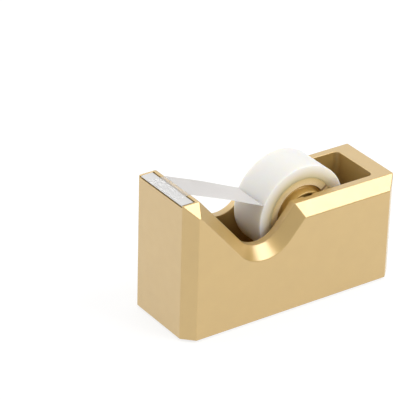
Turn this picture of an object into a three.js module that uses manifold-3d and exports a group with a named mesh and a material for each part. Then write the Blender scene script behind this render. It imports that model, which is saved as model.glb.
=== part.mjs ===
// Weighted desk tape dispenser with a chamfered housing, a serrated blade and a lift-out hub.
// Millimetres, +Z up, +Y towards the back. The origin is the middle of the footprint, on the desk.

import * as THREE from 'three';
import { mergeVertices } from 'three/addons/utils/BufferGeometryUtils.js';
import Module from 'manifold-3d';

const wasm = await Module();
wasm.setup();

// Driving dimensions. Heights are above the housing's bottom edge.
const LENGTH = 109;
const WIDTH = 42.4;
const FRONT_HEIGHT = 62.6;
const REAR_HEIGHT = 47.7;
const CHAMFER = 5.1;
const SKIN = 2.2;
const SADDLE_Y = -15.5;
const SADDLE_BOTTOM = 28.5;
const SADDLE_RADIUS = 17.5;
const SADDLE_SLOPE = THREE.MathUtils.degToRad(49.2);
const POCKET_WIDTH = 25.4;
const POCKET_FRONT = -34;
const POCKET_BACK = 46.3;
const POCKET_FLOOR = 7.5;
const POCKET_CORNER = 2.5;
const TAPE_WIDTH = 19;
const TAPE_RADIUS = 21.65;
const CORE_INNER_RADIUS = 12.7;
const CORE_OUTER_RADIUS = 15.9;
const HUB_Y = 11.15;
const HUB_HEIGHT = 37.8;
const HUB_LENGTH = 24.8;
const HUB_RADIUS = 11.2;
const AXLE_RADIUS = 1.8;
const BLADE_DEPTH = 6.5;
const BLADE_THICKNESS = 0.7;
const BLADE_SUNK = 0.1;
const TOOTH_COUNT = 32;
const TOOTH_DEPTH = 0.9;
const SCREW_X = 16.2;
const SCREW_FRONT_Y = -43;
const SCREW_BACK_Y = 44;
const PAD_PROUD = 0.8;
const GAP = 0.3;

// Sizes that follow from the driving dimensions, and the lesser ones.
const OVERRUN = 10;
const HALF_WIDTH = WIDTH / 2;
const HALF_LENGTH = LENGTH / 2;
const HALF_TAPE = TAPE_WIDTH / 2;
const POCKET_HALF = POCKET_WIDTH / 2;
const POCKET_SKIN_BOTTOM = POCKET_FLOOR - 1.8;
const PLATE_BOTTOM = 0.7;
const PLATE_TOP = 3.1;
const REBATE_INSET = 1.1;
const REBATE_TOP = PLATE_TOP + GAP;
const PAD_INSET = 2.4;
const PAD_TOP = PLATE_BOTTOM - GAP;
const GROOVE_DEPTH = 0.8;
const GROOVE_HALF = AXLE_RADIUS + GAP;
const CHEEK_HALF = 6;
const CHEEK_BOTTOM = HUB_HEIGHT - 9;
const BLADE_TOP = FRONT_HEIGHT - BLADE_SUNK;
const SEAT_BOTTOM = BLADE_TOP - BLADE_THICKNESS - GAP;
const SEAT_HALF = HALF_WIDTH - CHAMFER - 0.75;
const BLADE_HALF = SEAT_HALF - GAP;
const BLADE_BACK = BLADE_DEPTH - HALF_LENGTH;
const SLOT_FRONT = BLADE_BACK - BLADE_THICKNESS - GAP;
const SLOT_BACK = BLADE_BACK + 0.35;
const SLOT_BOTTOM = FRONT_HEIGHT - 7;
const FLANGE_HALF = BLADE_HALF - 0.4;
const FLANGE_BOTTOM = SLOT_BOTTOM + 1;
const HUB_END = HUB_LENGTH / 2;
const HUB_WALL = 0.8;
const HUB_DRAFT = 0.25;
const WEB_OUTER = HUB_END - 1.2;
const WEB_INNER = WEB_OUTER - 1.2;
const COLLAR_START = 7;
const COLLAR_END = 8.4;
const BEARING_RADIUS = AXLE_RADIUS + GAP;
const BEARING_OUTER = 4;
const SPIGOT_LENGTH = 3;
const RIB_COUNT = 5;
const RIB_THICKNESS = 1.2;
const RIB_RADIUS = CORE_INNER_RADIUS - GAP;
const RIB_START = 1;
const RIB_ROOT = HUB_RADIUS - 0.5;
const AXLE_END = POCKET_HALF + GROOVE_DEPTH - GAP;
const AXLE_TIP = 0.4;
const LEADER_THICKNESS = 0.15;
const LEADER_BOTTOM = FRONT_HEIGHT + GAP;
const LEADER_BEND_Y = -45.6;
const PEEL_ANGLE = THREE.MathUtils.degToRad(156);
const PEEL_RADIUS = TAPE_RADIUS + 2 * GAP;
const SCREW_RADIUS = 1.25;
const SCREW_TIP = 14;
const SCREW_HEAD_RADIUS = 2.8;
const SCREW_HEAD_BOTTOM = PLATE_BOTTOM + 0.1;
const SCREW_HEAD_TOP = SCREW_HEAD_BOTTOM + 1.1;
const DRIVE_DEPTH = 0.6;
const DRIVE_HALF_LENGTH = 1.5;
const DRIVE_HALF_WIDTH = 0.35;
const BOSS_RADIUS = 3.2;
const BOSS_TOP = 17;
const BALLAST_CLEARANCE = 0.5;
const FRONT_BALLAST_TOP = REAR_HEIGHT - 6.5;
const ROUND_SEGMENTS = 72;
const HUB_SEGMENTS = 60;
const SMALL_SEGMENTS = 24;

const screwPlaces = [
  [-SCREW_X, SCREW_FRONT_Y],
  [SCREW_X, SCREW_FRONT_Y],
  [SCREW_X, SCREW_BACK_Y],
  [-SCREW_X, SCREW_BACK_Y],
];

// ---- Joining and cutting ----

function toSolid(geometry) {
  const bare = geometry.clone();
  bare.deleteAttribute('normal');
  bare.deleteAttribute('uv');
  const merged = mergeVertices(bare, 1e-4);
  const vertProperties = new Float32Array(merged.getAttribute('position').array);
  const triVerts = new Uint32Array(merged.index.array);
  return new wasm.Manifold(new wasm.Mesh({ numProp: 3, vertProperties, triVerts }));
}

function toGeometry(solid) {
  const mesh = solid.getMesh();
  const geometry = new THREE.BufferGeometry();
  geometry.setAttribute('position', new THREE.BufferAttribute(mesh.vertProperties, 3));
  geometry.setIndex(new THREE.BufferAttribute(mesh.triVerts, 1));
  geometry.computeVertexNormals();
  return geometry;
}

// ---- Simple solids ----

function block([x0, x1], [y0, y1], [z0, z1]) {
  const box = new THREE.BoxGeometry(x1 - x0, y1 - y0, z1 - z0);
  box.translate((x0 + x1) / 2, (y0 + y1) / 2, (z0 + z1) / 2);
  return toSolid(box);
}

function rodAlongZ(radius, [x, y], [z0, z1]) {
  const rod = new THREE.CylinderGeometry(radius, radius, z1 - z0, SMALL_SEGMENTS);
  rod.rotateX(Math.PI / 2);
  rod.translate(x, y, (z0 + z1) / 2);
  return toSolid(rod);
}

function rodAlongX(radius, [x0, x1], [y, z]) {
  const rod = new THREE.CylinderGeometry(radius, radius, x1 - x0, SMALL_SEGMENTS);
  rod.rotateZ(Math.PI / 2);
  rod.translate((x0 + x1) / 2, y, z);
  return toSolid(rod);
}

// A plan shape in X and Y, standing between two heights.
function standing(shape, [z0, z1]) {
  const prism = new THREE.ExtrudeGeometry(shape, { depth: z1 - z0, bevelEnabled: false, curveSegments: 6 });
  prism.translate(0, 0, z0);
  return toSolid(prism);
}

// Turns a shape drawn in X and Y, and extruded along Z, so that it lies in Y and Z and runs along X.
function turnSideways(geometry) {
  const turned = new THREE.Matrix4().makeBasis(
    new THREE.Vector3(0, 1, 0),
    new THREE.Vector3(0, 0, 1),
    new THREE.Vector3(1, 0, 0),
  );
  return geometry.applyMatrix4(turned);
}

// A ring or drum around the hub's axis, from a closed profile of [radius, x] corners.
function turnedAboutAxle(profile, segments = ROUND_SEGMENTS) {
  const corners = profile.map(([radius, x]) => new THREE.Vector2(radius, x));
  corners.push(corners[0].clone());
  const lathe = new THREE.LatheGeometry(corners, segments);
  lathe.rotateZ(-Math.PI / 2);
  return toSolid(lathe);
}

// ---- Housing ----

// How much a 45 degree chamfer shrinks when all three faces around it move inwards by inset.
function insetChamfer(inset) {
  return CHAMFER - inset * (2 - Math.SQRT2);
}

function planShape(inset) {
  const x = HALF_WIDTH - inset;
  const y = HALF_LENGTH - inset;
  const corner = insetChamfer(inset);
  const shape = new THREE.Shape();
  shape.moveTo(x, corner - y);
  shape.lineTo(x, y - corner);
  shape.lineTo(x - corner, y);
  shape.lineTo(corner - x, y);
  shape.lineTo(-x, y - corner);
  shape.lineTo(-x, corner - y);
  shape.lineTo(corner - x, -y);
  shape.lineTo(x - corner, -y);
  shape.closePath();
  return shape;
}

// The side outline where the top chamfer ends, with the dip between the post and the back.
function sideShape(inset) {
  const chamfer = insetChamfer(inset);
  const radius = SADDLE_RADIUS - CHAMFER + inset + chamfer;
  const centre = SADDLE_BOTTOM + SADDLE_RADIUS;
  const frontTop = FRONT_HEIGHT - inset - chamfer;
  const rearTop = REAR_HEIGHT - inset - chamfer;
  const reach = radius * Math.sin(SADDLE_SLOPE);
  const tangent = centre - radius * Math.cos(SADDLE_SLOPE);
  const run = Math.tan(SADDLE_SLOPE);
  const end = HALF_LENGTH + OVERRUN;
  const shape = new THREE.Shape();
  shape.moveTo(-end, -OVERRUN);
  shape.lineTo(end, -OVERRUN);
  shape.lineTo(end, rearTop);
  shape.lineTo(SADDLE_Y + reach + (rearTop - tangent) / run, rearTop);
  shape.absarc(SADDLE_Y, centre, radius, SADDLE_SLOPE - Math.PI / 2, -Math.PI / 2 - SADDLE_SLOPE, true);
  shape.lineTo(SADDLE_Y - reach - (frontTop - tangent) / run, frontTop);
  shape.lineTo(-end, frontTop);
  shape.closePath();
  return shape;
}

// The housing's outer form, or the same form with every face moved inwards by inset.
function housingForm(inset) {
  const chamfer = insetChamfer(inset);
  const flatWidth = WIDTH - 2 * (inset + chamfer);
  const form = new THREE.ExtrudeGeometry(sideShape(inset), {
    depth: flatWidth,
    bevelEnabled: true,
    bevelThickness: chamfer,
    bevelSize: chamfer,
    bevelSegments: 1,
    curveSegments: 22,
  });
  form.translate(0, 0, -flatWidth / 2);
  const plan = standing(planShape(inset), [0, FRONT_HEIGHT + OVERRUN]);
  return toSolid(turnSideways(form)).intersect(plan);
}

// A block with round upright corners, from the pocket's plan grown outwards by grow.
function pocketForm(grow, heights) {
  const x = POCKET_HALF + grow;
  const y0 = POCKET_FRONT - grow;
  const y1 = POCKET_BACK + grow;
  const r = POCKET_CORNER + grow;
  const shape = new THREE.Shape();
  shape.absarc(x - r, y0 + r, r, -Math.PI / 2, 0, false);
  shape.absarc(x - r, y1 - r, r, 0, Math.PI / 2, false);
  shape.absarc(r - x, y1 - r, r, Math.PI / 2, Math.PI, false);
  shape.absarc(r - x, y0 + r, r, Math.PI, 1.5 * Math.PI, false);
  shape.closePath();
  return standing(shape, heights);
}

// The solid wall behind each axle groove, the bosses and the block under the blade stay in the cavity.
function housingCavity() {
  let cavity = housingForm(SKIN).subtract(pocketForm(SKIN, [POCKET_SKIN_BOTTOM, FRONT_HEIGHT]));
  const cheekY = [HUB_Y - CHEEK_HALF, HUB_Y + CHEEK_HALF];
  cavity = cavity.subtract(block([-HALF_WIDTH, HALF_WIDTH], cheekY, [CHEEK_BOTTOM, FRONT_HEIGHT]));
  const bladeBlockHeights = [SLOT_BOTTOM - SKIN, FRONT_HEIGHT];
  cavity = cavity.subtract(block([-HALF_WIDTH, HALF_WIDTH], [-HALF_LENGTH, POCKET_FRONT], bladeBlockHeights));
  for (const place of screwPlaces) {
    cavity = cavity.subtract(rodAlongZ(BOSS_RADIUS, place, [REBATE_TOP, BOSS_TOP]));
  }
  return cavity;
}

function axleGroove(side) {
  const outer = POCKET_HALF + GROOVE_DEPTH;
  const span = side > 0 ? [HUB_END, outer] : [-outer, -HUB_END];
  const round = rodAlongX(GROOVE_HALF, span, [HUB_Y, HUB_HEIGHT]);
  return round.add(block(span, [HUB_Y - GROOVE_HALF, HUB_Y + GROOVE_HALF], [HUB_HEIGHT, FRONT_HEIGHT]));
}

function bladeSeat() {
  const x = [-SEAT_HALF, SEAT_HALF];
  const top = FRONT_HEIGHT + OVERRUN;
  const recess = block(x, [-HALF_LENGTH - OVERRUN, BLADE_BACK], [SEAT_BOTTOM, top]);
  return recess.add(block(x, [SLOT_FRONT, SLOT_BACK], [SLOT_BOTTOM, top]));
}

function housing() {
  let shell = housingForm(0)
    .subtract(housingCavity())
    .subtract(standing(planShape(REBATE_INSET), [-OVERRUN, REBATE_TOP]))
    .subtract(pocketForm(0, [POCKET_FLOOR, FRONT_HEIGHT + OVERRUN]))
    .subtract(bladeSeat());
  for (const side of [-1, 1]) {
    shell = shell.subtract(axleGroove(side));
  }
  for (const place of screwPlaces) {
    shell = shell.subtract(rodAlongZ(SCREW_RADIUS + GAP, place, [0, SCREW_TIP + 1]));
  }
  return toGeometry(shell);
}

// ---- Base ----

function basePlate() {
  let plate = standing(planShape(REBATE_INSET + GAP), [PLATE_BOTTOM, PLATE_TOP]);
  for (const place of screwPlaces) {
    plate = plate
      .subtract(rodAlongZ(SCREW_RADIUS + GAP, place, [0, REBATE_TOP]))
      .subtract(rodAlongZ(SCREW_HEAD_RADIUS + GAP, place, [0, SCREW_HEAD_TOP + GAP]));
  }
  return toGeometry(plate);
}

function nonSlipPad() {
  return toGeometry(standing(planShape(PAD_INSET), [-PAD_PROUD, PAD_TOP]));
}

// A pan-head screw with a cross recess, standing head down.
function baseScrew(place) {
  const [x, y] = place;
  const around = (middle, half) => [middle - half, middle + half];
  const heights = [SCREW_HEAD_BOTTOM - OVERRUN, SCREW_HEAD_BOTTOM + DRIVE_DEPTH];
  const drive = block(around(x, DRIVE_HALF_LENGTH), around(y, DRIVE_HALF_WIDTH), heights)
    .add(block(around(x, DRIVE_HALF_WIDTH), around(y, DRIVE_HALF_LENGTH), heights));
  const screw = rodAlongZ(SCREW_HEAD_RADIUS, place, [SCREW_HEAD_BOTTOM, SCREW_HEAD_TOP])
    .add(rodAlongZ(SCREW_RADIUS, place, [SCREW_HEAD_BOTTOM + DRIVE_DEPTH / 2, SCREW_TIP]))
    .subtract(drive);
  return toGeometry(screw);
}

// The iron block that fills the post, with a notch around each front boss.
function frontBallast() {
  const x = HALF_WIDTH - SKIN - BALLAST_CLEARANCE;
  const y = [SKIN + BALLAST_CLEARANCE - HALF_LENGTH, POCKET_FRONT - SKIN - BALLAST_CLEARANCE];
  let ballast = standing(planShape(SKIN + BALLAST_CLEARANCE), [REBATE_TOP, FRONT_BALLAST_TOP])
    .intersect(block([-x, x], y, [0, FRONT_BALLAST_TOP]));
  for (const place of screwPlaces) {
    ballast = ballast.subtract(rodAlongZ(BOSS_RADIUS + BALLAST_CLEARANCE, place, [0, BOSS_TOP + 1]));
  }
  return toGeometry(ballast);
}

// The steel sheet between the base plate and the pocket's floor.
function floorBallast() {
  const x = HALF_WIDTH - SKIN - BALLAST_CLEARANCE;
  const y = [POCKET_FRONT - SKIN, SCREW_BACK_Y - BOSS_RADIUS - BALLAST_CLEARANCE];
  return toGeometry(block([-x, x], y, [REBATE_TOP, POCKET_SKIN_BOTTOM - GAP]));
}

// ---- Blade ----

function cutterBlade() {
  const pitch = (2 * BLADE_HALF) / TOOTH_COUNT;
  const root = TOOTH_DEPTH - HALF_LENGTH;
  const outline = new THREE.Shape();
  outline.moveTo(BLADE_HALF, BLADE_BACK);
  outline.lineTo(-BLADE_HALF, BLADE_BACK);
  outline.lineTo(-BLADE_HALF, root);
  for (let tooth = 0; tooth < TOOTH_COUNT; tooth += 1) {
    const left = tooth * pitch - BLADE_HALF;
    outline.lineTo(left + pitch / 2, -HALF_LENGTH);
    outline.lineTo(left + pitch, root);
  }
  outline.closePath();
  const plate = standing(outline, [BLADE_TOP - BLADE_THICKNESS, BLADE_TOP]);
  const flangeY = [BLADE_BACK - BLADE_THICKNESS, BLADE_BACK];
  return toGeometry(plate.add(block([-FLANGE_HALF, FLANGE_HALF], flangeY, [FLANGE_BOTTOM, BLADE_TOP])));
}

// ---- Hub ----

// Each half is a slightly tapered drum with a web and a bearing tube, and the halves meet at x = 0.
// The core sits on its ribs and its collar.
// The left half's spigot slides into the right half.
function hubHalf(side) {
  const rimRadius = HUB_RADIUS - HUB_DRAFT;
  const drumInner = rimRadius - HUB_WALL;
  const spigotOuter = drumInner - GAP;
  const spigotInner = spigotOuter - HUB_WALL;
  const seam = GAP / 2;
  const spigotJoint = [
    [spigotInner, WEB_INNER],
    [spigotInner, -SPIGOT_LENGTH],
    [spigotOuter, -SPIGOT_LENGTH],
    [spigotOuter, seam],
  ];
  const plainJoint = [
    [drumInner, WEB_INNER],
    [drumInner, seam],
  ];
  const profile = [
    [BEARING_RADIUS, seam],
    [BEARING_OUTER, seam],
    [BEARING_OUTER, WEB_INNER],
    ...(side < 0 ? spigotJoint : plainJoint),
    [HUB_RADIUS, seam],
    [HUB_RADIUS, COLLAR_START],
    [RIB_RADIUS, COLLAR_START],
    [RIB_RADIUS, COLLAR_END],
    [HUB_RADIUS, COLLAR_END],
    [rimRadius, HUB_END],
    [drumInner, HUB_END],
    [drumInner, WEB_OUTER],
    [BEARING_OUTER, WEB_OUTER],
    [BEARING_OUTER, HUB_END - GAP],
    [BEARING_RADIUS, HUB_END - GAP],
  ];
  const sided = side > 0 ? profile : profile.map(([radius, x]) => [radius, -x]).reverse();
  let half = turnedAboutAxle(sided, HUB_SEGMENTS);
  for (let rib = 0; rib < RIB_COUNT; rib += 1) {
    const geometry = new THREE.BoxGeometry(COLLAR_START - RIB_START, RIB_THICKNESS, RIB_RADIUS - RIB_ROOT);
    geometry.translate((side * (RIB_START + COLLAR_START)) / 2, 0, (RIB_RADIUS + RIB_ROOT) / 2);
    geometry.rotateX((rib * 2 * Math.PI) / RIB_COUNT);
    half = half.add(toSolid(geometry));
  }
  return toGeometry(half);
}

function axlePin() {
  const profile = [
    [0, -AXLE_END],
    [AXLE_RADIUS - AXLE_TIP, -AXLE_END],
    [AXLE_RADIUS, AXLE_TIP - AXLE_END],
    [AXLE_RADIUS, AXLE_END - AXLE_TIP],
    [AXLE_RADIUS - AXLE_TIP, AXLE_END],
    [0, AXLE_END],
  ];
  const lathe = new THREE.LatheGeometry(profile.map(([r, x]) => new THREE.Vector2(r, x)), SMALL_SEGMENTS);
  lathe.rotateZ(-Math.PI / 2);
  return toGeometry(toSolid(lathe));
}

// ---- Tape ----

function ring(innerRadius, outerRadius, halfWidth) {
  const profile = [
    [innerRadius, -halfWidth],
    [outerRadius, -halfWidth],
    [outerRadius, halfWidth],
    [innerRadius, halfWidth],
  ];
  return toGeometry(turnedAboutAxle(profile));
}

// The free strip: flat over the blade, then straight down to where it peels off the roll.
function tapeLeader() {
  const start = GAP - HALF_LENGTH;
  const top = LEADER_BOTTOM + LEADER_THICKNESS;
  const peelY = HUB_Y + PEEL_RADIUS * Math.cos(PEEL_ANGLE);
  const peelZ = HUB_HEIGHT + PEEL_RADIUS * Math.sin(PEEL_ANGLE);
  const strip = new THREE.Shape();
  strip.moveTo(start, LEADER_BOTTOM);
  strip.lineTo(LEADER_BEND_Y, LEADER_BOTTOM);
  strip.lineTo(peelY, peelZ);
  strip.lineTo(peelY + LEADER_THICKNESS / 2, peelZ + LEADER_THICKNESS);
  strip.lineTo(LEADER_BEND_Y, top);
  strip.lineTo(start, top);
  strip.closePath();
  const ribbon = new THREE.ExtrudeGeometry(strip, { depth: TAPE_WIDTH, bevelEnabled: false });
  ribbon.translate(0, 0, -HALF_TAPE);
  return turnSideways(ribbon);
}

// ---- Assembly ----

function material(color, roughness, metalness) {
  return new THREE.MeshStandardMaterial({ color, roughness, metalness });
}

const satinGold = material(0xd8b071, 0.35, 1);
const brightSteel = material(0xd9d9d6, 0.25, 1);
const plainSteel = material(0x9a9a98, 0.5, 1);
const castIron = material(0x4a4a4c, 0.7, 1);
const blackPlastic = material(0x26262a, 0.6, 0);
const blackFoam = material(0x1c1c1e, 0.9, 0);
const frostedTape = material(0xeceae4, 0.45, 0);
const tanCore = material(0xcfab74, 0.8, 0);

function part(name, geometry, finish) {
  const mesh = new THREE.Mesh(geometry, finish.clone());
  mesh.name = name;
  return mesh;
}

// The roll and its hub are drawn about the axle, so they hang in a group placed on its axis.
const reel = new THREE.Group();
reel.position.set(0, HUB_Y, HUB_HEIGHT);
reel.add(
  part('axle', axlePin(), plainSteel),
  part('hub_left', hubHalf(-1), satinGold),
  part('hub_right', hubHalf(1), satinGold),
  part('tape_core', ring(CORE_INNER_RADIUS, CORE_OUTER_RADIUS, HALF_TAPE), tanCore),
  part('tape_roll', ring(CORE_OUTER_RADIUS + GAP, TAPE_RADIUS, HALF_TAPE), frostedTape),
);

const dispenser = new THREE.Group();
dispenser.position.z = PAD_PROUD;
dispenser.add(
  part('housing', housing(), satinGold),
  part('base_plate', basePlate(), blackPlastic),
  part('non_slip_pad', nonSlipPad(), blackFoam),
  part('front_ballast', frontBallast(), castIron),
  part('floor_ballast', floorBallast(), plainSteel),
  part('cutter_blade', cutterBlade(), brightSteel),
  part('tape_leader', tapeLeader(), frostedTape),
  reel,
);
screwPlaces.forEach((place, index) => {
  dispenser.add(part(`base_screw_${index + 1}`, baseScrew(place), plainSteel));
});

const group = new THREE.Group();
group.add(dispenser);

export default group;
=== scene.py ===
import math

import bmesh
import bpy
from mathutils import Matrix, Vector
from mathutils.geometry import intersect_point_line


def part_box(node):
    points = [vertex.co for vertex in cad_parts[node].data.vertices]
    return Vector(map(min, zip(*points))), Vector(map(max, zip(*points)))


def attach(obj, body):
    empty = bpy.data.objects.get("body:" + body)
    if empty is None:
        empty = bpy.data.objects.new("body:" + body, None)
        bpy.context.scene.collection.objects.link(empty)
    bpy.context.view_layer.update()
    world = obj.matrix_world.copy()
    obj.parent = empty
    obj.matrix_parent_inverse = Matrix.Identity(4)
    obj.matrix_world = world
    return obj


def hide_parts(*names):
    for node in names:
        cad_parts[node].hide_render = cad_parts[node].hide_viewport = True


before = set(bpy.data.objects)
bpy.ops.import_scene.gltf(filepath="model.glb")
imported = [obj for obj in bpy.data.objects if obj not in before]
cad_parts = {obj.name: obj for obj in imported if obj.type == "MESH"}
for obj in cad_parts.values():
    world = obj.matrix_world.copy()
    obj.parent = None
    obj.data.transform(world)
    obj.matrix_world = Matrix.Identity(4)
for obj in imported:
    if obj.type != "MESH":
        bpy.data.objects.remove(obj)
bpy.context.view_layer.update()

# Looks of a weighted desk tape dispenser: a gold housing, a serrated blade and a lift-out hub with a
# part-used roll. Metres, +Z up, +Y towards the back, as in the CAD model. Places come from the boxes of the
# CAD nodes.

MM = 0.001

# Camera, as the photograph was taken: a long lens from the front, the right and above. Its place was found
# with the housing on the floor, and the foot pad raises both.
CAMERA_AZIMUTH = math.radians(54.96)
CAMERA_ELEVATION = math.radians(28.64)
CAMERA_ROLL = math.radians(1.6)
CAMERA_DISTANCE = 1.0351
CAMERA_ASIDE = -28.44 * MM
CAMERA_RAISED = 36.56 * MM
CAMERA_LENS = 216.4
CAMERA_SENSOR = 36
CAMERA_NEAREST = 0.01
CAMERA_FARTHEST = 20
PAD_HEIGHT = 0.8 * MM

# Soft light round the object: azimuth and elevation in degrees, and strength
SKY_LIGHTS = (
    (320, 35, 1.0),
    (285, 12, 2.2),
    (225, 35, 1.05),
    (80, 6, 1.4),
    (0, 85, 0.8),
)
SKY_SHARPNESS = 7.0
KEY_PLACE = (0.45, 0.42, 0.75)
KEY_AIM = (0, 0, 0.03)
KEY_SIZE = 0.65
KEY_RADIANCE = 4.6
FLOOR_HALF = 6
FLOOR_GREY = 0.25
FLOOR_ROUGHNESS = 0.9
FLOOR_GLOW = 0.78

# Tints of the metals
GOLD = (0.60, 0.402, 0.132)
HUB_GOLD = (0.60, 0.39, 0.10)
ZINC = (0.6, 0.6, 0.59)
STEEL = (0.46, 0.46, 0.47)

# Noise keeps mostly between these two values
NOISE_LOW = 0.3
NOISE_HIGH = 0.7

# Rounded edges: their radius, how much of the room beside them they may take, and which edges they are
HOUSING_ROUND = 0.35 * MM
HUB_ROUND = 0.25 * MM
TRAY_ROUND = 0.25 * MM
PAD_ROUND = 0.25 * MM
POST_WEIGHT_ROUND = 0.8 * MM
FLOOR_WEIGHT_ROUND = 0.2 * MM
SMALL_ROUND = 0.12 * MM
ROUND_SHARE = 0.42
ROUND_STEPS = 3
SHARP_ANGLE = math.radians(24)
RUN_TURN = math.radians(65)
MERGE_DISTANCE = 0.002 * MM
FLAT_ANGLE = math.radians(0.5)
NO_LIMIT = 1.0

# Blade
BLADE_THICKNESS = 0.5 * MM
BLADE_TEETH = 32
TOOTH_DEPTH = 0.6 * MM
TEETH_SET_BACK = 0.2 * MM
GRIND_LENGTH = 1.2 * MM
TIP_THICKNESS = 0.35 * MM
BEND_RADIUS = 0.7 * MM
BEND_STEPS = 5
FLANGE_NARROWING = 0.026

# Roll and core
TURNED_STEPS = 160
CORNER_STEPS = 4
RING_STEPS = 26
RING_RIPPLE = 0.035 * MM
RING_PITCH = 0.42 * MM
ROLL_ROUND = 0.3 * MM
CORE_ROUND = 0.2 * MM
SEAM_CLIMB = 24 * MM
SEAM_WIDTH = 0.006

# Free strip of film. It lies on the blade, lifts to the rim behind the slot, and bends down at the post's
# rear.
FILM_THICKNESS = 0.06 * MM
FILM_CLEARANCE = 0.015 * MM
FILM_TEETH = 19
FILM_TOOTH_DEPTH = 0.5 * MM
FILM_BOW = 0.3 * MM
FILM_LIFT = 2.5 * MM
FILM_FILLET = 1.5 * MM
FILLET_STEPS = 6
FREE_STEPS = 10
FILM_CREASE = math.radians(50)
FILM_FADE = 0.3 * MM
STUCK_ALPHA = 0.2
FREE_ALPHA = 0.96
PEEL_ANGLE = math.radians(156)
PEEL_SUNK = 0.25 * MM
RIM_Y = -47.4 * MM
BEND_Y = -46.0 * MM


# ---- Scene ----

def facing(azimuth, elevation):
    """The direction towards something at that azimuth, from the front round by the right, and elevation."""
    flat = math.cos(elevation)
    return Vector((math.sin(azimuth) * flat, -math.cos(azimuth) * flat, math.sin(elevation)))


def camera():
    back = facing(CAMERA_AZIMUTH, CAMERA_ELEVATION)
    right = back.cross(Vector((0, 0, -1))).normalized()
    up = back.cross(right)
    data = bpy.data.cameras.new("camera")
    data.sensor_width = CAMERA_SENSOR
    data.lens = CAMERA_LENS
    data.clip_start = CAMERA_NEAREST
    data.clip_end = CAMERA_FARTHEST
    made = bpy.data.objects.new("camera", data)
    bpy.context.scene.collection.objects.link(made)
    place = right * CAMERA_ASIDE + up * CAMERA_RAISED + back * CAMERA_DISTANCE
    place.z += PAD_HEIGHT
    level = Matrix((right, up, back)).transposed()
    made.matrix_world = Matrix.Translation(place) @ (level @ Matrix.Rotation(CAMERA_ROLL, 3, "Z")).to_4x4()
    bpy.context.scene.camera = made


def softbox(name, place, aim, size, radiance):
    """A square area light of that brightness, which the camera doesn't see."""
    data = bpy.data.lights.new(name, "AREA")
    data.shape = "SQUARE"
    data.size = size
    data.energy = radiance * math.pi * size * size
    made = bpy.data.objects.new(name, data)
    bpy.context.scene.collection.objects.link(made)
    direction = Vector(aim) - Vector(place)
    made.matrix_world = Matrix.Translation(place) @ direction.to_track_quat("-Z", "Y").to_matrix().to_4x4()
    made.visible_camera = False


def studio():
    """A white world of soft lobes, and the key light."""
    world = bpy.data.worlds.new("studio")
    bpy.context.scene.world = world
    world.use_nodes = True
    tree = world.node_tree
    direction = tree.nodes.new("ShaderNodeTexCoord").outputs["Generated"]

    def math_node(operation, first, second):
        made = tree.nodes.new("ShaderNodeMath")
        made.operation = operation
        for index, value in enumerate((first, second)):
            if isinstance(value, bpy.types.NodeSocket):
                tree.links.new(value, made.inputs[index])
            else:
                made.inputs[index].default_value = value
        return made.outputs[0]

    total = 0.0
    for azimuth, elevation, strength in SKY_LIGHTS:
        towards = tree.nodes.new("ShaderNodeVectorMath")
        towards.operation = "DOT_PRODUCT"
        tree.links.new(direction, towards.inputs[0])
        towards.inputs[1].default_value = facing(math.radians(azimuth), math.radians(elevation))
        falloff = math_node("MULTIPLY", math_node("SUBTRACT", towards.outputs["Value"], 1.0), SKY_SHARPNESS)
        lobe = math_node("MULTIPLY", math_node("POWER", math.e, falloff), strength)
        total = math_node("ADD", lobe, total)
    background = tree.nodes["Background"].inputs
    background["Color"].default_value = (1, 1, 1, 1)
    tree.links.new(total, background["Strength"])
    softbox("key", KEY_PLACE, KEY_AIM, KEY_SIZE, KEY_RADIANCE)


def floor():
    mesh = bpy.data.meshes.new("floor")
    bm = bmesh.new()
    bmesh.ops.create_grid(bm, x_segments=1, y_segments=1, size=FLOOR_HALF)
    bm.to_mesh(mesh)
    bm.free()
    made = bpy.data.objects.new("floor", mesh)
    bpy.context.scene.collection.objects.link(made)
    finish = Finish("pale_floor", {
        "Base Color": (FLOOR_GREY, FLOOR_GREY, FLOOR_GREY, 1),
        "Roughness": FLOOR_ROUGHNESS,
        "Emission Color": (1, 1, 1, 1),
        "Emission Strength": FLOOR_GLOW,
    })
    mesh.materials.append(finish.material)


# ---- Materials ----

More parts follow.
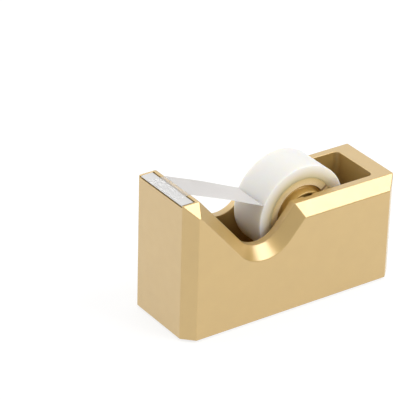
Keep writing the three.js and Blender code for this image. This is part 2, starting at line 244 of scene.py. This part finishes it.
class Finish:
    """A material with one Principled shader, and short ways to add the nodes that vary it."""

    def __init__(self, name, values):
        self.material = bpy.data.materials.new(name)
        self.material.use_nodes = True
        self.tree = self.material.node_tree
        self.shader = self.tree.nodes["Principled BSDF"]
        for socket, value in values.items():
            self.shader.inputs[socket].default_value = value
        self.place = self.tree.nodes.new("ShaderNodeTexCoord").outputs["Object"]

    def node(self, kind, inputs, **settings):
        made = self.tree.nodes.new(kind)
        for name, value in settings.items():
            setattr(made, name, value)
        for name, value in inputs.items():
            if isinstance(value, bpy.types.NodeSocket):
                self.tree.links.new(value, made.inputs[name])
            else:
                made.inputs[name].default_value = value
        return made

    def math(self, operation, first, second=0.0):
        return self.node("ShaderNodeMath", {0: first, 1: second}, operation=operation).outputs[0]

    def noise(self, size, detail=2.0, stretch=(1, 1, 1)):
        """Noise from 0 to 1 with lumps about size metres, longer along an axis where stretch is above 1."""
        scale = [1 / (size * factor) for factor in stretch]
        scaled = self.node("ShaderNodeVectorMath", {0: self.place, 1: scale}, operation="MULTIPLY")
        values = {"Vector": scaled.outputs[0], "Scale": 1.0, "Detail": detail}
        return self.node("ShaderNodeTexNoise", values).outputs["Fac"]

    def between(self, factor, low, high, start=0.0, end=1.0):
        values = {"Value": factor, "From Min": start, "From Max": end, "To Min": low, "To Max": high}
        return self.node("ShaderNodeMapRange", values).outputs["Result"]

    def spread(self, noise, low, high):
        """Noise mapped so that it uses the whole range from low to high."""
        return self.between(noise, low, high, NOISE_LOW, NOISE_HIGH)

    def mixed(self, factor, first, second):
        made = self.node("ShaderNodeMix", {"Factor": factor}, data_type="RGBA")
        for index, colour in ((6, first), (7, second)):
            if isinstance(colour, bpy.types.NodeSocket):
                self.tree.links.new(colour, made.inputs[index])
            else:
                made.inputs[index].default_value = (*colour, 1)
        return made.outputs[2]

    def set(self, socket, source):
        self.tree.links.new(source, self.shader.inputs[socket])

    def bump(self, height, depth, strength=1.0):
        """Relief of that depth in metres where height runs from 0 to 1."""
        values = {"Height": height, "Distance": depth, "Strength": strength}
        self.set("Normal", self.node("ShaderNodeBump", values).outputs["Normal"])

    def about_axle(self):
        """The radius from the roll's axis, the angle about it in turns, and the place along it."""
        _, y, z = reel_centre()
        offset = {0: self.place, 1: (0, y, z)}
        moved = self.node("ShaderNodeVectorMath", offset, operation="SUBTRACT").outputs[0]
        parts = self.node("ShaderNodeSeparateXYZ", {"Vector": moved}).outputs
        square = self.math("ADD", self.math("POWER", parts["Y"], 2), self.math("POWER", parts["Z"], 2))
        radius = self.math("SQRT", square)
        turns = self.math("DIVIDE", self.math("ARCTAN2", parts["Z"], parts["Y"]), 2 * math.pi)
        return radius, turns, parts["X"]


def satin_gold(name, tint):
    """Satin gold paint: metallic flakes in a tan base with a very fine grain, under a clear coat."""
    finish = Finish(name, {"Metallic": 0.5, "Coat Weight": 1.0, "Coat Roughness": 0.25, "Coat IOR": 1.8})
    paler = [min(1, channel * 1.04) for channel in tint]
    deeper = [channel * 0.96 for channel in tint]
    finish.set("Base Color", finish.mixed(finish.noise(9 * MM, 3), deeper, paler))
    finish.set("Roughness", finish.spread(finish.noise(5 * MM, 3), 0.38, 0.46))
    finish.bump(finish.noise(0.22 * MM, 3), 0.006 * MM)
    return finish.material


def blade_steel():
    """Bright plated steel, ground along the cut."""
    finish = Finish("blade_steel", {"Metallic": 1.0})
    darker = (0.72, 0.71, 0.695)
    brighter = (0.735, 0.725, 0.71)
    streaks = finish.noise(0.25 * MM, 2, (60, 1, 1))
    finish.set("Base Color", finish.mixed(streaks, darker, brighter))
    finish.set("Roughness", finish.spread(streaks, 0.3, 0.36))
    finish.bump(streaks, 0.0003 * MM)
    return finish.material


def plated_steel(name, tint, roughness):
    """Zinc-plated or plain steel with faint mottling."""
    finish = Finish(name, {"Metallic": 1.0})
    darker = [channel * 0.85 for channel in tint]
    mottle = finish.noise(1.2 * MM, 4)
    finish.set("Base Color", finish.mixed(mottle, darker, tint))
    finish.set("Roughness", finish.spread(mottle, roughness - 0.06, roughness + 0.1))
    finish.bump(finish.noise(0.25 * MM, 2), 0.008 * MM)
    return finish.material


def cast_iron():
    """Dark, rough cast iron."""
    finish = Finish("ballast_iron", {"Metallic": 0.9})
    pits = (0.05, 0.05, 0.055)
    skin = (0.13, 0.125, 0.12)
    grain = finish.noise(0.9 * MM, 5)
    finish.set("Base Color", finish.mixed(grain, pits, skin))
    finish.set("Roughness", finish.spread(grain, 0.55, 0.85))
    finish.bump(grain, 0.12 * MM)
    return finish.material


def black_plastic():
    """Moulded black plastic with a fine spark-eroded grain."""
    finish = Finish("black_plastic", {"Specular IOR Level": 0.45})
    black = (0.014, 0.014, 0.016)
    charcoal = (0.026, 0.026, 0.028)
    grain = finish.noise(0.35 * MM, 3)
    finish.set("Base Color", finish.mixed(grain, black, charcoal))
    finish.set("Roughness", finish.spread(grain, 0.5, 0.68))
    finish.bump(grain, 0.03 * MM)
    return finish.material


def pad_foam():
    """Closed-cell foam: small round cells, some of them open at the skin, with painted shade that darkens
    the middle of each cell.
    """
    finish = Finish("pad_foam", {"Specular IOR Level": 0.3})
    painted_cell_shade = (0.006, 0.006, 0.007)
    wall = (0.022, 0.022, 0.023)
    cell_size = 0.45 * MM
    voronoi = finish.node("ShaderNodeTexVoronoi", {"Vector": finish.place, "Scale": 1 / cell_size})
    cells = voronoi.outputs["Distance"]
    # Painted shade: each cell is darker towards its middle, where its hollow lies.
    finish.set("Base Color", finish.mixed(cells, painted_cell_shade, wall))
    finish.set("Roughness", finish.between(cells, 0.95, 0.78))
    finish.bump(cells, 0.08 * MM)
    return finish.material


def wound_film():
    """The roll: frosted film that is white outside and takes on a tan tone towards its core."""
    finish = Finish("tape_film", {
        "Subsurface Weight": 1.0,
        "Subsurface Radius": (1.0, 0.85, 0.55),
        "Subsurface Scale": 4 * MM,
        "Coat Weight": 0.15,
        "Coat Roughness": 0.3,
    })
    white = (0.80, 0.79, 0.765)
    tan = (0.67, 0.53, 0.25)
    layer_shade = (0.66, 0.6, 0.48)
    radius, _, _ = finish.about_axle()
    inner, outer = ring_radii("tape_roll")
    depth = finish.between(radius, 1.0, 0.0, inner, outer)
    layers = finish.noise(0.16 * MM, 2, (12, 1, 1))
    rings = finish.math("SINE", finish.math("MULTIPLY", radius, 2 * math.pi / RING_PITCH))
    tone = finish.mixed(finish.math("POWER", depth, 1.4), white, tan)
    finish.set("Base Color", finish.mixed(finish.between(layers, 0.0, 0.16), tone, layer_shade))
    finish.set("Roughness", finish.spread(layers, 0.34, 0.5))
    finish.bump(finish.math("ADD", finish.between(rings, 0, 0.6, -1, 1), layers), 0.008 * MM)
    return finish.material


def free_film():
    """The free strip: one layer of frosted film, which turns clear where it is stuck down on the blade."""
    finish = Finish("free_film", {
        "Subsurface Weight": 1.0,
        "Subsurface Radius": (1.0, 1.0, 1.0),
        "Subsurface Scale": 2.5 * FILM_THICKNESS,
        "Coat Weight": 0.1,
    })
    clear = (0.95, 0.95, 0.94)
    cloud = finish.noise(2.5 * MM, 3, (1, 3, 1))
    along = finish.node("ShaderNodeSeparateXYZ", {"Vector": finish.place}).outputs["Y"]
    stuck_end = BEND_Y - FILM_FADE
    free = finish.between(along, 0.0, 1.0, stuck_end - FILM_FADE, stuck_end + FILM_FADE)
    finish.set("Alpha", finish.between(free, STUCK_ALPHA, FREE_ALPHA))
    milky = finish.mixed(cloud, (0.60, 0.58, 0.565), (0.64, 0.62, 0.605))
    finish.set("Base Color", finish.mixed(free, clear, milky))
    finish.set("Roughness", finish.spread(cloud, 0.34, 0.46))
    finish.bump(finish.noise(0.2 * MM, 2), 0.003 * MM)
    return finish.material


def core_card():
    """Wound tan card with fibres and a seam that climbs round it, with painted shade that darkens it
    towards the film and a painted highlight ring along its inner edge.
    """
    finish = Finish("core_card", {"Specular IOR Level": 0.3})
    # The first tone is the card's own; the second is painted shade towards the film, and the third a
    # painted highlight along the inner edge.
    inside = (0.84, 0.66, 0.38)
    painted_shade_tone = (0.62, 0.46, 0.20)
    painted_highlight_tone = (0.92, 0.78, 0.52)
    fibre_tone = (0.42, 0.30, 0.15)
    seam_tone = (0.34, 0.22, 0.11)
    radius, turns, along = finish.about_axle()
    inner, outer = ring_radii("tape_core")
    fibres = finish.noise(0.3 * MM, 4, (3, 1, 1))
    climb = finish.math("ADD", turns, finish.math("DIVIDE", along, SEAM_CLIMB))
    seam = finish.math("COMPARE", finish.math("FRACT", climb), 0.5)
    seam.node.inputs[2].default_value = SEAM_WIDTH
    # Painted shade: the card darkens towards its outer edge, where it meets the film.
    shade_towards_film = finish.between(radius, 0, 1, inner + CORE_ROUND, outer)
    tone = finish.mixed(shade_towards_film, inside, painted_shade_tone)
    # Painted highlight: a pale ring painted along the card's inner edge.
    highlight_ring = finish.between(radius, 1, 0, inner + CORE_ROUND, inner + 2 * CORE_ROUND)
    with_highlight = finish.mixed(highlight_ring, tone, painted_highlight_tone)
    speckled = finish.mixed(finish.between(fibres, 0, 0.35, 0.4, 0.8), with_highlight, fibre_tone)
    finish.set("Base Color", finish.mixed(seam, speckled, seam_tone))
    finish.set("Roughness", finish.between(fibres, 0.75, 0.95))
    finish.bump(finish.math("SUBTRACT", fibres, seam), 0.03 * MM)
    return finish.material


# ---- Making pieces ----

def reel_centre():
    low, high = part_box("tape_roll")
    return (low + high) / 2


def ring_radii(node):
    """The inner and outer radius of a CAD ring about the roll's axis."""
    centre = reel_centre()
    radii = [(vertex.co - centre).yz.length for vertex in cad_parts[node].data.vertices]
    return min(radii), max(radii)


def piece(name, mesh, body, slot, finish, *nodes):
    """An object of the part, riding its CAD body in place of those CAD nodes."""
    made = bpy.data.objects.new(name, mesh)
    bpy.context.scene.collection.objects.link(made)
    mesh.materials.clear()
    mesh.materials.append(finish)
    mesh.shade_smooth()
    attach(made, body)
    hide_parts(*nodes)
    return made


def as_mesh(name, bm):
    bmesh.ops.recalc_face_normals(bm, faces=bm.faces)
    mesh = bpy.data.meshes.new(name)
    bm.to_mesh(mesh)
    bm.free()
    return mesh


def turn_between(first, second):
    """The angle through which a line turns as it passes from one edge to another at their shared corner."""
    shared = (set(first.verts) & set(second.verts)).pop()
    arriving = shared.co - first.other_vert(shared).co
    leaving = second.other_vert(shared).co - shared.co
    return arriving.angle(leaving, 0)


def runs_of(edges):
    """The edges in runs, where each follows another with only a small turn."""
    waiting = dict.fromkeys(edges)
    runs = []
    while waiting:
        run = [waiting.popitem()[0]]
        for edge in run:
            beside = [other for vertex in edge.verts for other in vertex.link_edges if other in waiting]
            for other in beside:
                if other in waiting and turn_between(edge, other) < RUN_TURN:
                    del waiting[other]
                    run.append(other)
        runs.append(run)
    return runs


def room_beside(edge, run):
    """The least distance, across its faces, from an edge's ends and middle to an edge outside its run."""
    start, end = (vertex.co for vertex in edge.verts)
    distances = []
    for face in edge.link_faces:
        for other in face.edges:
            if other not in run and not set(other.verts) & set(edge.verts):
                for point in (start, (start + end) / 2, end):
                    nearest, _ = closest_on_edge(point, other)
                    distances.append((nearest - point).length)
    return min(distances, default=NO_LIMIT)


def closest_on_edge(point, edge):
    """The nearest point of an edge, and how far along the edge it is, from 0 to 1."""
    start, end = (vertex.co for vertex in edge.verts)
    nearest, share = intersect_point_line(point, start, end)
    if share < 0:
        return start, 0
    if share > 1:
        return end, 1
    return nearest, share


def mark_rounds(bm, width):
    """Gives each run of sharp edges a bevel weight: the whole width where there is room, or else less."""
    layer = bm.edges.layers.float.new("bevel_weight_edge")
    shared = [edge for edge in bm.edges if len(edge.link_faces) == 2]
    sharp = [edge for edge in shared if edge.calc_face_angle(0) > SHARP_ANGLE]
    for run in runs_of(sharp):
        members = set(run)
        room = min(room_beside(edge, members) for edge in run)
        for edge in run:
            edge[layer] = min(1, ROUND_SHARE * room / width)


def refined(node, name, body, slot, finish, width):
    """A piece with a CAD node's own form, its flats whole and its edges rounded."""
    bm = bmesh.new()
    bm.from_mesh(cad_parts[node].data)
    bmesh.ops.remove_doubles(bm, verts=bm.verts, dist=MERGE_DISTANCE)
    bmesh.ops.dissolve_limit(bm, angle_limit=FLAT_ANGLE, verts=bm.verts, edges=bm.edges)
    mark_rounds(bm, width)
    made = piece(name, as_mesh(name, bm), body, slot, finish, node)
    bevel = made.modifiers.new("rounded", "BEVEL")
    bevel.limit_method = "WEIGHT"
    bevel.width = width
    bevel.segments = ROUND_STEPS
    bevel.miter_outer = "MITER_SHARP"
    bevel.use_clamp_overlap = False
    shading = made.modifiers.new("shading", "WEIGHTED_NORMAL")
    shading.keep_sharp = True
    return made


def turned(name, profile):
    """A mesh turned about the roll's axis, from a closed profile of (radius, x) corners."""
    _, y, z = reel_centre()
    bm = bmesh.new()
    rows = []
    for step in range(TURNED_STEPS):
        angle = step * 2 * math.pi / TURNED_STEPS
        across = math.cos(angle)
        up = math.sin(angle)
        rows.append([bm.verts.new((x, y + r * across, z + r * up)) for r, x in profile])
    for step, row in enumerate(rows):
        following = rows[(step + 1) % TURNED_STEPS]
        for index in range(len(profile)):
            after = (index + 1) % len(profile)
            bm.faces.new((row[index], row[after], following[after], following[index]))
    return as_mesh(name, bm)


def corner_arc(centre_radius, centre_x, radius, start):
    """A quarter turn of profile corners, from the angle start in degrees, where 0 points outwards."""
    arc = []
    for step in range(CORNER_STEPS + 1):
        angle = math.radians(start + 90 * step / CORNER_STEPS)
        arc.append((centre_radius + radius * math.cos(angle), centre_x + radius * math.sin(angle)))
    return arc


# ---- Blade ----

def blade_profile(front, low, high):
    """The blade's section in Y and Z, from its front edge: a flat, a folded flange and a ground edge."""
    top = high.z
    back = high.y
    grind = low.y + GRIND_LENGTH
    bend_y = back - BEND_RADIUS
    bend_z = top - BEND_RADIUS
    section = [(front, top)]
    angles = [math.pi / 2 * (1 - step / BEND_STEPS) for step in range(BEND_STEPS + 1)]
    for angle in angles:
        section.append((bend_y + BEND_RADIUS * math.cos(angle), bend_z + BEND_RADIUS * math.sin(angle)))
    section.append((back, low.z))
    section.append((back - BLADE_THICKNESS, low.z))
    inner = BEND_RADIUS - BLADE_THICKNESS
    for angle in reversed(angles):
        section.append((bend_y + inner * math.cos(angle), bend_z + inner * math.sin(angle)))
    section.append((grind, top - BLADE_THICKNESS))
    ground = (BLADE_THICKNESS - TIP_THICKNESS) * (grind - front) / GRIND_LENGTH
    section.append((front, top - BLADE_THICKNESS + ground))
    return section


def blade():
    """The folded blade, from one section at each tooth's tip and root."""
    low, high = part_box("cutter_blade")
    bm = bmesh.new()
    columns = []
    for index in range(2 * BLADE_TEETH + 1):
        front = low.y + TEETH_SET_BACK + (TOOTH_DEPTH if index % 2 == 0 else 0)
        x = low.x + (high.x - low.x) * index / (2 * BLADE_TEETH)
        column = []
        for y, z in blade_profile(front, low, high):
            narrowing = min(1, max(0, (high.z - BLADE_THICKNESS - z) / BEND_RADIUS))
            column.append(bm.verts.new((x * (1 - FLANGE_NARROWING * narrowing), y, z)))
        columns.append(column)
    corners = len(columns[0])
    for left, right in zip(columns, columns[1:]):
        for index in range(corners):
            after = (index + 1) % corners
            bm.faces.new((left[index], left[after], right[after], right[index]))
    bm.faces.new(columns[0])
    bm.faces.new(columns[-1])
    mesh = as_mesh("blade_plate", bm)
    made = piece("blade_plate", mesh, "dispenser_body", "blade_steel", blade_steel(), "cutter_blade")
    made.data.set_sharp_from_angle(angle=SHARP_ANGLE)


# ---- Roll and core ----

def ripple(radius):
    """How far a wound layer stands in from the roll's face, uneven from layer to layer."""
    turns = radius / MM
    return RING_RIPPLE * (1 + 0.6 * math.sin(9.7 * turns) + 0.4 * math.sin(17.3 * turns + 1))


def roll():
    """The wound film, whose faces show its layers."""
    low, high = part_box("tape_roll")
    inner = ring_radii("tape_core")[1]
    outer = ring_radii("tape_roll")[1]
    step = (outer - ROLL_ROUND - inner) / RING_STEPS
    radii = [inner + step * index for index in range(RING_STEPS)]
    profile = [(radius, low.x + ripple(radius)) for radius in radii]
    profile += corner_arc(outer - ROLL_ROUND, low.x + ROLL_ROUND, ROLL_ROUND, -90)
    profile += corner_arc(outer - ROLL_ROUND, high.x - ROLL_ROUND, ROLL_ROUND, 0)
    profile += [(radius, high.x - ripple(radius)) for radius in reversed(radii)]
    piece("film_roll", turned("film_roll", profile), "reel", "tape_film", wound_film(), "tape_roll")


def core():
    """The card ring that the film is wound on."""
    low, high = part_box("tape_core")
    inner, outer = ring_radii("tape_core")
    profile = corner_arc(inner + CORE_ROUND, low.x + CORE_ROUND, CORE_ROUND, 180)
    profile += corner_arc(outer - CORE_ROUND, low.x + CORE_ROUND, CORE_ROUND, -90)
    profile += corner_arc(outer - CORE_ROUND, high.x - CORE_ROUND, CORE_ROUND, 0)
    profile += corner_arc(inner + CORE_ROUND, high.x - CORE_ROUND, CORE_ROUND, 90)
    piece("card_core", turned("card_core", profile), "reel", "core_card", core_card(), "tape_core")


# ---- Free strip of film ----

def fillet(before, corner, after):
    """Points on a round between two straight runs that meet at a corner."""
    inwards = (before - corner).normalized()
    onwards = (after - corner).normalized()
    half = inwards.angle(onwards) / 2
    reach = FILM_FILLET / math.tan(half)
    start = corner + inwards * reach
    end = corner + onwards * reach
    centre = corner + (inwards + onwards).normalized() * FILM_FILLET / math.sin(half)
    points = []
    for step in range(FILLET_STEPS + 1):
        spoke = (start - centre).lerp(end - centre, step / FILLET_STEPS)
        points.append(centre + spoke.normalized() * FILM_FILLET)
    return points


def strip_line():
    """The strip's middle line in Y and Z, from its cut end on the blade to just under the roll's rim."""
    lift = FILM_CLEARANCE + FILM_THICKNESS / 2
    on_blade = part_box("cutter_blade")[1].z + lift
    on_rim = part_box("housing")[1].z + lift
    centre = reel_centre().yz
    radius = ring_radii("tape_roll")[1] + lift

    cut_end = Vector((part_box("tape_leader")[0].y, on_blade))
    leaves_blade = Vector((RIM_Y - FILM_LIFT, on_blade))
    meets_rim = Vector((RIM_Y, on_rim))
    bend = Vector((BEND_Y, on_rim))
    peel = centre + Vector((math.cos(PEEL_ANGLE), math.sin(PEEL_ANGLE))) * radius
    line = [cut_end]
    line += fillet(cut_end, leaves_blade, meets_rim)
    line += fillet(leaves_blade, meets_rim, bend)
    line += fillet(meets_rim, bend, peel)
    line += [line[-1].lerp(peel, step / FREE_STEPS) for step in range(1, FREE_STEPS)]
    line.append(peel)
    line.append(peel.lerp(centre, PEEL_SUNK / radius))
    return line


def strip_rows(bm):
    """Rows of corners across the strip, upper and lower in turn, with teeth at its cut end."""
    low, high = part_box("tape_leader")
    line = strip_line()
    half_width = (high.x - low.x) / 2
    columns = 2 * FILM_TEETH
    peel_y = reel_centre().y + ring_radii("tape_roll")[1] * math.cos(PEEL_ANGLE)
    rows = []
    for index, point in enumerate(line):
        before = line[max(index - 1, 0)]
        after = line[min(index + 1, len(line) - 1)]
        along = (after - before).normalized()
        across = Vector((-along.y, along.x))
        share = min(1, max(0, (point.x - BEND_Y) / (peel_y - BEND_Y)))
        bow = FILM_BOW * math.sin(math.pi * share) ** 2
        row = []
        for column in range(columns + 1):
            side = 2 * column / columns - 1
            middle = point + across * bow * side * side
            if index == 0 and column % 2 == 0:
                middle = middle + along * FILM_TOOTH_DEPTH
            for offset in (FILM_THICKNESS / 2, -FILM_THICKNESS / 2):
                y, z = middle + across * offset
                row.append(bm.verts.new((side * half_width, y, z)))
        rows.append(row)
    return rows


def leader():
    """The free strip of film, a thin closed sheet that bows a little between the post and the roll."""
    bm = bmesh.new()
    rows = strip_rows(bm)
    uppers = range(0, 4 * FILM_TEETH, 2)
    for first, second in zip(rows, rows[1:]):
        for column in uppers:
            bm.faces.new((first[column], first[column + 2], second[column + 2], second[column]))
            bm.faces.new((first[column + 1], second[column + 1], second[column + 3], first[column + 3]))
        bm.faces.new((first[0], second[0], second[1], first[1]))
        bm.faces.new((first[-2], first[-1], second[-1], second[-2]))
    for row in (rows[0], rows[-1]):
        for column in uppers:
            bm.faces.new((row[column], row[column + 1], row[column + 3], row[column + 2]))
    mesh = as_mesh("film_leader", bm)
    made = piece("film_leader", mesh, "axle_carrier", "tape_film", free_film(), "tape_leader")
    made.data.set_sharp_from_angle(angle=FILM_CREASE)


# ---- Everything ----

def metal_and_plastic():
    """The pieces that keep their CAD nodes' forms."""
    gold = satin_gold("satin_gold", GOLD)
    hub_gold = satin_gold("hub_gold", HUB_GOLD)
    zinc = plated_steel("screw_steel", ZINC, 0.32)
    steel = plated_steel("plain_steel", STEEL, 0.4)
    body = "dispenser_body"
    refined("housing", "housing_shell", body, "satin_gold", gold, HOUSING_ROUND)
    refined("base_plate", "base_tray", body, "black_plastic", black_plastic(), TRAY_ROUND)
    pad = refined("non_slip_pad", "foot_pad", body, "pad_foam", pad_foam(), PAD_ROUND)
    refined("front_ballast", "post_weight", body, "ballast_iron", cast_iron(), POST_WEIGHT_ROUND)
    refined("floor_ballast", "floor_weight", body, "plain_steel", steel, FLOOR_WEIGHT_ROUND)
    for number in range(1, 5):
        refined(f"base_screw_{number}", f"screw_{number}", body, "screw_steel", zinc, SMALL_ROUND)
    refined("axle", "axle_rod", "axle_carrier", "plain_steel", steel, SMALL_ROUND)
    for side in ("left", "right"):
        refined(f"hub_{side}", f"hub_half_{side}", "reel", "hub_gold", hub_gold, HUB_ROUND)


bpy.context.scene.view_settings.view_transform = "Standard"
camera()
studio()
floor()
metal_and_plastic()
blade()
core()
roll()
leader()
